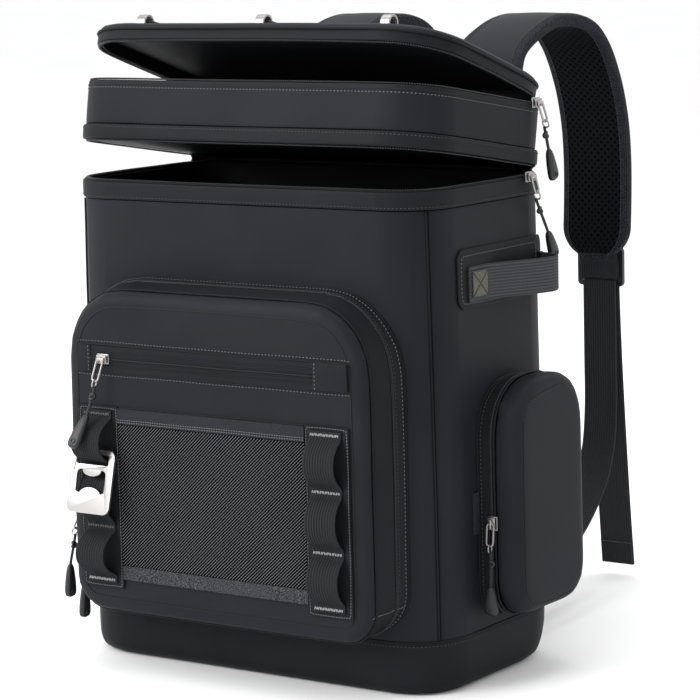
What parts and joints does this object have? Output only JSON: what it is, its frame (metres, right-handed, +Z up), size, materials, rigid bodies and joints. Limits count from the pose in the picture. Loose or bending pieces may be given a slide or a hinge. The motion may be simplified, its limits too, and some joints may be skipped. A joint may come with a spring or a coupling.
{
  "type": "cooler backpack",
  "caption": "Soft insulated backpack: rounded box body, zipped upper compartment and lid ajar, front and side pockets, webbing loops with a bottle opener, side handles, padded straps.",
  "frame": {"origin": "centre of the base's underside, on the surface that the pack stands on", "axes": "+Z up, -Y out of the front pocket, +X to the right of someone who looks at the front"},
  "size_m": [0.4162, 0.5125, 0.5091],
  "materials": {
    "shell_fabric": "matte coated fabric",
    "trim_fabric": "matte coated fabric",
    "lining": "smooth dark lining",
    "webbing": "ribbed woven webbing",
    "air_mesh": "padded spacer mesh",
    "pouch_mesh": "open woven mesh",
    "zip_tape": "coated zip tape",
    "cord": "braided cord with a moulded grip",
    "moulded": "fine grained",
    "steel": "satin"
  },
  "bodies": {
    "root": {"main_body": "shell_fabric", "main_liner": "lining", "main_rim": "trim_fabric", "base_boot": "trim_fabric", "back_panel": "air_mesh", "piping_front_left": "trim_fabric", "piping_front_right": "trim_fabric", "upper_case": "shell_fabric", "upper_flange": "trim_fabric", "upper_floor": "lining", "lower_hinge": "trim_fabric", "upper_hinge": "trim_fabric", "lid_band": "trim_fabric", "lid_panel": "shell_fabric", "lid_loop_front_1": "steel", "lid_loop_front_2": "steel", "lid_loop_front_3": "steel", "lid_loop_back_1": "steel", "lid_loop_back_2": "steel", "bungee_cord": "cord", "pocket_base_strip": "trim_fabric", "pocket_gusset": "shell_fabric", "pocket_panel": "shell_fabric", "slim_zip": "zip_tape", "mesh_panel": "pouch_mesh", "mesh_hem_top": "webbing", "mesh_hem_bottom": "webbing", "webbing_backing_left": "trim_fabric", "webbing_backing_right": "trim_fabric", "webbing_left": "webbing", "webbing_right": "webbing", "bottle_opener": "steel", "side_patch_left": "trim_fabric", "side_patch_right": "trim_fabric", "side_handle_left": "webbing", "side_handle_right": "webbing", "side_pocket_base_left": "trim_fabric", "side_pocket_base_right": "trim_fabric", "side_pocket_cover_left": "shell_fabric", "side_pocket_cover_right": "shell_fabric", "side_tag": "webbing", "strap_pad_left": "shell_fabric", "strap_pad_right": "shell_fabric", "strap_webbing_left": "webbing", "strap_webbing_right": "webbing", "ladder_lock_left": "moulded", "ladder_lock_right": "moulded", "slider_slim": "steel", "slider_side": "steel", "slider_main": "steel", "slider_upper": "steel", "slider_pocket_high": "steel", "slider_pocket_low": "steel", "pull_slim": "cord", "pull_side": "cord", "pull_main": "cord", "pull_upper": "cord", "pull_pocket_high": "cord", "pull_pocket_low": "cord"}
  },
  "joints": []
}
